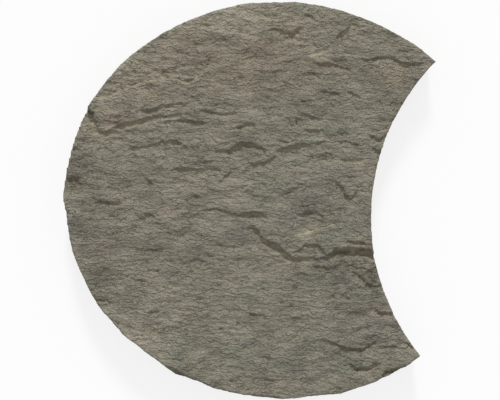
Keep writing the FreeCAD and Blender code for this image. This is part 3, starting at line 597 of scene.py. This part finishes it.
def stainMap(kind, seed):
    x = mapX + staining["wander"][0] * roughField(seed, *staining["wanderLength"], 3)
    y = mapY + staining["wander"][1] * roughField(seed + 1, *staining["wanderLength"], 3)
    total = np.zeros(mapX.shape)
    for px, py, halfX, halfY, strength in stains[kind]:
        total = np.maximum(total, strength * np.exp(-spot(x, y, px, py, halfX, halfY) ** 1.3))
    patchy = 0.85 + staining["patchy"] * roughField(seed + 2, *staining["patchLength"], 2.5)
    return np.clip(total * np.clip(patchy, 0.1, 1.8), 0, staining["most"])


rust = stainMap("rust", 101)
ochre = stainMap("ochre", 111)
moss = stainMap("moss", 121)
slate = stainMap("slate", 131)
# tone: paler and darker stone, with the painted shade of the dark list
toneAndShade = staining["pale"] * stainMap("pale", 141) - staining["darkAndShade"] * stainMap("darkAndShade", 151)
toneAndShade += rough("wideTone") + rough("fineTone")
print("tints placed")

# The stone: the CAD node's copy, flattened on top, meshed again finely and carved
stone = {
    "squashX": 0.62,       # cells are longer along the grain
    "squashZ": 0.7,
    "voxel": 1.12 * mm,    # cell of the new mesh
    "faceFrom": 24 * mm,   # above this the copy is flattened
    "bedRatio": 0.09,      # how much of the underside's mesh stays
    "bedFacing": -0.8,
    "wallRatio": 0.55,
    "wallFacing": 0.7,
    "wallBelow": 29 * mm,
    "merge": 0.01 * mm,
    "bedRough": 0.35 * mm,
    "bedTrace": 0.12,      # share of the face's relief that the underside shows
}


def coordinates(mesh):
    co = np.empty(len(mesh.vertices) * 3)
    mesh.vertices.foreach_get("co", co)
    return co.reshape(-1, 3)


def setCoordinates(mesh, co):
    mesh.vertices.foreach_set("co", co.ravel())
    mesh.update()


def only(obj):
    bpy.ops.object.select_all(action="DESELECT")
    bpy.context.view_layer.objects.active = obj
    obj.select_set(True)


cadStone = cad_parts["stepping_stone"]
slab = cadStone.copy()
slab.data = cadStone.data.copy()
slab.name = "riven_slab"
slab.parent = None
bpy.context.scene.collection.objects.link(slab)
only(slab)
bpy.ops.object.mode_set(mode="EDIT")
bpy.ops.mesh.select_all(action="SELECT")
bpy.ops.mesh.remove_doubles(threshold=stone["merge"])
bpy.ops.object.mode_set(mode="OBJECT")
co = coordinates(slab.data)
co[co[:, 2] > stone["faceFrom"], 2] = face["level"]
co[:, 0] *= stone["squashX"]
co[:, 2] *= stone["squashZ"]
setCoordinates(slab.data, co)
remesh = slab.modifiers.new("fineSkin", "REMESH")
remesh.mode = "VOXEL"
remesh.voxel_size = stone["voxel"]
remesh.use_smooth_shade = True
bpy.ops.object.modifier_apply(modifier=remesh.name)
co = coordinates(slab.data)
co[:, 0] /= stone["squashX"]
co[:, 2] /= stone["squashZ"]
setCoordinates(slab.data, co)
print("slab meshed:", len(slab.data.vertices), "points")

# The hewn sides: a second map, wound once round the stone, with the way round it and the height as axes.
# The last four are its scales: seed, depth in mm, length along and up in mm, steepness, turn.
wall = {
    "round": 1620 * mm,          # a little more than the way round
    "foot": -6 * mm,             # the map begins under the stone
    "cellsUp": 96,
    "rimRadius": 236 * mm,
    "biteStarts": 150 * mm,
    "least": 0.45,               # depths in mm
    "deepest": 3,
    "fade": 0.75,                # how much shallower it is at the face
    "fadeFrom": 24 * mm,
    "fadeTo": 33 * mm,
    "rimFrom": 1.5 * mm,         # how far inside the rim it ends
    "rimFade": 2.2 * mm,
    "arris": 1.3 * mm,           # at the foot
    "arrisHigh": 1.6 * mm,
    "tintFrom": 25 * mm,         # the sides' painted shade in hollows ends here
    "tintTo": 31 * mm,
    "dents": (71, 0.85, 26, 16, 3.4, 0),
    "strokes": (72, 0.35, 6, 14, 3, 0.5),
    "beds": (73, 0.42, 34, 2.6, 3, 0.02),
    "grit": (74, 0.14, 2.2, 1.8, 3, 0),
}
wallCells = (int(wall["round"] / face["cell"]), wall["cellsUp"])
wallCorner = (0, wall["foot"])


def wayRound(x, y):
    # distance round the stone, along the rim or along the bite
    u = x - picture["ovalOnStone"][0]
    v = y - picture["ovalOnStone"][1]
    rimWay = (np.arctan2(v, u) % (2 * math.pi)) * wall["rimRadius"]
    biteWay = np.arctan2(y - outline["biteAt"][1], outline["biteAt"][0] - x) * outline["biteRadius"]
    atBite = biteDistance(x, y) < rimDistance(x, y) + 0.1 * mm
    return np.where(atBite, biteWay + wall["biteStarts"], rimWay)


def hewn(name):
    seed, strength, along, up, fall, turn = wall[name]
    return strength * roughField(seed, along * mm, up * mm, fall, wallCells, turn)


def nearRim(inside):
    # 1 on the sides, gone a few millimetres inside the rim
    return np.exp(-(np.maximum(inside - wall["rimFrom"], 0) / wall["rimFade"]) ** 2)


relief = np.abs(hewn("dents")) + hewn("strokes") + hewn("beds") + hewn("grit")
wallDepth = mm * np.clip(wall["least"] + relief, 0, wall["deepest"])
co = coordinates(slab.data)
lift = sample(height, co[:, 0], co[:, 1])
heightShare = co[:, 2] / face["level"]
inside = rimDistance(co[:, 0], co[:, 1])
step = 0.5 * mm
inX = rimDistance(co[:, 0] + step, co[:, 1]) - rimDistance(co[:, 0] - step, co[:, 1])
inY = rimDistance(co[:, 0], co[:, 1] + step) - rimDistance(co[:, 0], co[:, 1] - step)
inLength = np.hypot(inX, inY) + 1e-9
way = wayRound(co[:, 0], co[:, 1])
onSide = nearRim(inside)
shallow = 1 - wall["fade"] * softStep(wall["fadeFrom"], wall["fadeTo"], co[:, 2])
push = sample(wallDepth, way, co[:, 2], wallCorner) * onSide * shallow
push += wall["arris"] * np.exp(-co[:, 2] / wall["arrisHigh"]) * onSide
co[:, 0] += inX / inLength * push
co[:, 1] += inY / inLength * push
co[:, 2] += lift * softStep(0.25, 1, heightShare)
underside = stone["bedRough"] * np.clip(sample(rough("underside"), co[:, 0], co[:, 1]) + 0.6, 0, 3)
underside += stone["bedTrace"] * np.abs(sample(height, co[:, 0], co[:, 1]))
co[:, 2] += underside * np.clip(1 - heightShare * 12, 0, 1)
setCoordinates(slab.data, co)


def thinOut(chosen, ratio):
    only(slab)
    bpy.ops.object.mode_set(mode="EDIT")
    bpy.ops.mesh.select_mode(type="FACE")
    bpy.ops.mesh.select_all(action="DESELECT")
    bpy.ops.object.mode_set(mode="OBJECT")
    slab.data.polygons.foreach_set("select", chosen)
    bpy.ops.object.mode_set(mode="EDIT")
    bpy.ops.mesh.decimate(ratio=ratio)
    bpy.ops.object.mode_set(mode="OBJECT")


def ofFaces(kind):
    # the Z of each face's normal or centre
    values = np.empty(len(slab.data.polygons) * 3)
    slab.data.polygons.foreach_get(kind, values)
    return values.reshape(-1, 3)[:, 2]


thinOut(ofFaces("normal") < stone["bedFacing"], stone["bedRatio"])
onWall = (np.abs(ofFaces("normal")) < stone["wallFacing"]) & (ofFaces("center") < stone["wallBelow"])
thinOut(onWall, stone["wallRatio"])
co = coordinates(slab.data)
co[:, 2] = np.maximum(co[:, 2], 0)
setCoordinates(slab.data, co)
slab.data.calc_loop_triangles()
print("slab carved:", len(slab.data.loop_triangles), "triangles")

# The tints, the painted shade and the painted highlights go to the points as colour attributes
wallHollow = -hollowness(wallDepth, "wideHollow")
co = coordinates(slab.data)
inside = rimDistance(co[:, 0], co[:, 1])
sideShare = nearRim(inside) * (1 - softStep(wall["tintFrom"], wall["tintTo"], co[:, 2]))
wallPlace = (wayRound(co[:, 0], co[:, 1]), co[:, 2])


def paint(mesh, name, fields):
    # up to three pairs of fields, of the face and of the sides, go to the points as one colour attribute
    layer = mesh.color_attributes.new(name, "FLOAT_COLOR", "POINT")
    values = np.ones((len(co), 4))
    for index, (onFace, onSides) in enumerate(fields):
        values[:, index] = sample(onFace, co[:, 0], co[:, 1])
        if onSides is not None:
            sides = sample(onSides, *wallPlace, wallCorner)
            values[:, index] = values[:, index] * (1 - sideShare) + sides * sideShare
    layer.data.foreach_set("color", values.ravel())


paint(slab.data, "warmTints", ((rust, None), (ochre, None), (moss, None)))
paint(slab.data, "coolTintsAndPaintedLight", ((slate, None), (0.5 + 0.5 * toneAndShade, None), (crest, None)))
# hollowness, painted as shade on the face and the sides, and the painted shadow tint
faceHollow = np.clip(0.5 + hollow, 0, 1)
sideHollow = np.clip(0.5 + wallHollow, 0, 1)
paint(slab.data, "paintedShadeInHollows", ((faceHollow, sideHollow), (shadowTint, 0 * wallHollow)))
print("tints painted")

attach(slab, "root")
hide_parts("stepping_stone")


class Plug:
    # a socket of a node, which can be written in sums
    def __init__(self, board, socket):
        self.board = board
        self.socket = socket

    def sum(self, operation, a, b):
        return self.board.node("ShaderNodeMath", {"operation": operation}, {0: a, 1: b})

    def __add__(self, other):
        return self.sum("ADD", self, other)

    def __radd__(self, other):
        return self.sum("ADD", other, self)

    def __sub__(self, other):
        return self.sum("SUBTRACT", self, other)

    def __rsub__(self, other):
        return self.sum("SUBTRACT", other, self)

    def __mul__(self, other):
        return self.sum("MULTIPLY", self, other)

    def __rmul__(self, other):
        return self.sum("MULTIPLY", other, self)


class Board:
    # the nodes of a new material or world
    def __init__(self, holder):
        self.holder = holder
        holder.use_nodes = True
        self.tree = holder.node_tree
        self.tree.nodes.clear()

    def node(self, kind, settings, sockets, out=0):
        # settings come first, then the values or links of the sockets
        made = self.tree.nodes.new(kind)
        for key, value in settings.items():
            setattr(made, key, value)
        for key, value in sockets.items():
            if isinstance(value, Plug):
                self.tree.links.new(value.socket, made.inputs[key])
            else:
                made.inputs[key].default_value = value
        if out == "all":
            return [Plug(self, socket) for socket in made.outputs]
        return Plug(self, made.outputs[out]) if made.outputs else None


def linear(r, g, b):
    # a colour as it looks on screen, as the shader wants it
    return tuple(((c + 0.055) / 1.055) ** 2.4 if c > 0.04 else c / 12.92 for c in (r, g, b)) + (1.0,)


sandstone = {
    "base": (0.488, 0.469, 0.4165),
    "rust": (0.500, 0.459, 0.403),
    "ochre": (0.496, 0.468, 0.403),
    "moss": (0.471, 0.470, 0.415),
    "slate": (0.482, 0.461, 0.426),
    # the painted shadow tint: warm colour put into shaded hollows
    "shadowTint": (0.496, 0.470, 0.388),
    "shadowTintOver": (2.4, -1.3, 0.9),    # the painted shadow tint's share: for a hollow, for flat stone, for a shaded gouge
    "grainLength": 0.77,       # across against along
    "grainTurn": 0.054,
    "sandScale": 560,          # a scale is in cells to the metre
    "grit": 1.3,               # mm
    "sheetScale": 108,
    "sheetCount": 3.7,         # sheets over one swell
    "sheetDetail": 3,
    "sheetEvery": 6 * mm,
    "sheetDrop": 1.5,          # mm
    "flakeScale": 240,
    "flakeCount": 2.5,
    "flakeDetail": 1,
    "flakeEvery": 3 * mm,
    "flakeDrop": 0.5,          # mm
    "sheetRoughness": 0.62,
    "sheetBend": 0.2,
    "sheetRise": 1.4,          # on the sides, height counts this much more
    "riser": 0.71,             # where a sheet's slope ends and its broken edge begins
    "patchScale": 130,         # patches where the sheets stand up more or less
    "patchFrom": 0.38,
    "patchTo": 0.66,
    "patchLeast": 0.15,
    "patchMost": 1.7,
    "smoothed": 0.7,           # where the painted shadow tint and the painted crest highlight lie
    "sandSize": 1.25 * mm,
    "sandTint": 0.3,
    "sandShade": 0.6,
    "toneShade": 0.7,
    # painted shade in hollows
    "hollowShade": 0.15,
    # painted light that lifts the shaded gouges
    "shadowLift": 0.16,
    # painted highlight on crests that face the light
    "crestShade": 0.34,
    "roughness": 0.9,
}


def sandstoneMaterial():
    board = Board(bpy.data.materials.new("riven_sandstone"))
    place = board.node("ShaderNodeTexCoord", {}, {}, "Object")
    places = board.node("ShaderNodeSeparateXYZ", {}, {"Vector": place}, "all")
    grainPlace = board.node("ShaderNodeMapping", {"vector_type": "TEXTURE"}, {
        "Vector": place, "Rotation": (0, 0, sandstone["grainTurn"]),
        "Scale": (1 / sandstone["grainLength"], 1, 1)})
    sand = board.node("ShaderNodeTexNoise", {}, {
        "Vector": place, "Scale": sandstone["sandScale"], "Detail": 2, "Roughness": 0.6})
    patches = board.node("ShaderNodeTexNoise", {}, {
        "Vector": place, "Scale": sandstone["patchScale"], "Detail": 2, "Roughness": 0.6})
    patches = board.node("ShaderNodeMapRange", {}, {
        "Value": patches, 1: sandstone["patchFrom"], 2: sandstone["patchTo"],
        3: sandstone["patchLeast"], 4: sandstone["patchMost"]})

    def shingled(kind):
        # a height like that of split sheets lying over each other: a slow fall, then a short riser
        level = board.node("ShaderNodeTexNoise", {}, {
            "Vector": grainPlace, "Scale": sandstone[kind + "Scale"], "Detail": sandstone[kind + "Detail"],
            "Roughness": sandstone["sheetRoughness"], "Distortion": sandstone["sheetBend"]})
        level = level * sandstone[kind + "Count"]
        level = level + (places[1] + sandstone["sheetRise"] * places[2]) * (1 / sandstone[kind + "Every"])
        part = board.node("ShaderNodeMath", {"operation": "FRACT"}, {0: level})
        riser = board.node("ShaderNodeMapRange", {"interpolation_type": "SMOOTHSTEP"}, {
            "Value": part, 1: sandstone["riser"], 2: 1.0})
        slope = 1 - part
        return slope * slope + riser

    sheets = shingled("sheet")
    flakes = shingled("flake")
    grains = board.node("ShaderNodeTexVoronoi", {}, {
        "Vector": place, "Scale": 1 / sandstone["sandSize"]}, "Color")
    grains = board.node("ShaderNodeSeparateColor", {}, {"Color": grains})

    def painted(name):
        layer = board.node("ShaderNodeVertexColor", {"layer_name": name}, {})
        return board.node("ShaderNodeSeparateColor", {}, {"Color": layer}, "all")

    rustPart, ochrePart, mossPart = painted("warmTints")
    slatePart, toneAndShadePart, crestPart = painted("coolTintsAndPaintedLight")
    hollowPart, shadowTintPart = painted("paintedShadeInHollows")[:2]
    # the painted shadow tint's share
    fromHollow, offset, fromSilt = sandstone["shadowTintOver"]
    shadowTintShare = fromHollow * hollowPart + offset + fromSilt * shadowTintPart
    colour = linear(*sandstone["base"])
    tints = {"ochre": ochrePart, "moss": mossPart, "slate": slatePart, "rust": rustPart, "shadowTint": shadowTintShare}
    for name, part in tints.items():
        colour = board.node("ShaderNodeMix", {"data_type": "RGBA", "clamp_factor": True}, {
            0: part, 6: colour, 7: linear(*sandstone[name])}, 2)
    # brightness: sand and grains, tone with its painted shade, painted shade in hollows, painted lift in
    # shaded gouges and painted highlight on lit crests
    bright = 1.0 + sandstone["sandShade"] * (sand - 0.5) + sandstone["sandTint"] * (grains - 0.5)
    bright = bright + sandstone["toneShade"] * (toneAndShadePart - 0.5)
    bright = bright - sandstone["hollowShade"] * (hollowPart - 0.5)
    bright = bright + sandstone["shadowLift"] * shadowTintPart + sandstone["crestShade"] * crestPart
    colour = board.node("ShaderNodeVectorMath", {"operation": "SCALE"}, {0: colour, "Scale": bright})
    plates = sandstone["sheetDrop"] * (patches * sheets) + sandstone["flakeDrop"] * flakes
    plates = plates * (1 - sandstone["smoothed"] * shadowTintPart - sandstone["smoothed"] * crestPart)
    bump = board.node("ShaderNodeBump", {}, {
        "Height": plates + sandstone["grit"] * (sand - 0.5), "Strength": 1.0, "Distance": mm})
    surface = board.node("ShaderNodeBsdfPrincipled", {}, {
        "Base Color": colour, "Roughness": sandstone["roughness"], "Normal": bump})
    board.node("ShaderNodeOutputMaterial", {}, {"Surface": surface})
    return board.holder


slab.data.materials.clear()
slab.data.materials.append(sandstoneMaterial())
for polygon in slab.data.polygons:
    polygon.material_index = 0
print("sandstone mixed")

# The room: a pale floor that reads as white, a soft key from the picture's top and an even sky
room = {
    "floor": 8.0,
    "floorDrop": 0.02 * mm,
    "floorShade": 0.85,
    "floorWhite": 0.8,           # how far a camera sees it as plain white
    "sky": 0.57,
    "key": 2.85,
    "keyBearing": 0,
    "keyHeight": math.radians(27),
    "keySize": math.radians(11),
    "fill": 0.25,
    "fillBearing": math.radians(170),
    "fillHeight": math.radians(48),
    "fillSize": math.radians(70),
}


def seenPlain(board):
    # 1 for a camera, glossy or glass ray; light and shadow come by the others
    path = board.node("ShaderNodeLightPath", {}, {}, "Is Camera Ray")
    for name in ("Is Glossy Ray", "Is Transmission Ray"):
        other = board.node("ShaderNodeLightPath", {}, {}, name)
        path = board.node("ShaderNodeMath", {"operation": "MAXIMUM"}, {0: path, 1: other})
    return path


def floorMaterial():
    board = Board(bpy.data.materials.new("pale_floor"))
    shade = room["floorShade"]
    lit = board.node("ShaderNodeBsdfDiffuse", {}, {"Color": (shade, shade, shade, 1)})
    plain = board.node("ShaderNodeEmission", {}, {"Color": (1, 1, 1, 1), "Strength": 1.0})
    share = seenPlain(board) * room["floorWhite"]
    mixed = board.node("ShaderNodeMixShader", {}, {0: share, 1: lit, 2: plain})
    board.node("ShaderNodeOutputMaterial", {}, {"Surface": mixed})
    return board.holder


def skyWorld():
    board = Board(bpy.data.worlds.new("sky"))
    glow = board.node("ShaderNodeMapRange", {}, {"Value": seenPlain(board), 3: room["sky"], 4: 1.0})
    back = board.node("ShaderNodeBackground", {}, {"Color": (1, 1, 1, 1), "Strength": glow})
    board.node("ShaderNodeOutputWorld", {}, {"Surface": back})
    return board.holder


bpy.ops.object.select_all(action="DESELECT")
bpy.ops.mesh.primitive_plane_add(size=room["floor"], location=(0, 0, -room["floorDrop"]))
floor = bpy.context.active_object
floor.name = "floor"
floor.data.materials.append(floorMaterial())
bpy.context.scene.world = skyWorld()


def sunFrom(name, bearing, height, energy, size):
    # bearing: 0 is the picture's top, clockwise
    lamp = bpy.data.lights.new(name, "SUN")
    lamp.energy = energy
    lamp.angle = size
    sun = bpy.data.objects.new(name, lamp)
    bpy.context.scene.collection.objects.link(sun)
    turn = picture["turn"] - bearing
    flat = math.cos(height)
    towards = Vector((-math.sin(turn) * flat, math.cos(turn) * flat, math.sin(height)))
    sun.rotation_euler = towards.to_track_quat("Z", "Y").to_euler()


sunFrom("key", room["keyBearing"], room["keyHeight"], room["key"], room["keySize"])
sunFrom("fill", room["fillBearing"], room["fillHeight"], room["fill"], room["fillSize"])
print("room lit")

cameraLens = bpy.data.cameras.new("camera")
cameraLens.lens = picture["lens"]
cameraLens.sensor_width = picture["sensor"]
camera = bpy.data.objects.new("camera", cameraLens)
bpy.context.scene.collection.objects.link(camera)
middleX, middleY = onStone(picture["wide"] / 2 - 0.5, picture["high"] / 2 - 0.5)
cameraHeight = picture["wide"] * picture["pixel"] * picture["lens"] / picture["sensor"]
camera.location = (float(middleX), float(middleY), cadHigh.z + cameraHeight)
camera.rotation_euler = (0, 0, picture["turn"])
bpy.context.scene.camera = camera
bpy.context.scene.view_settings.view_transform = "Standard"
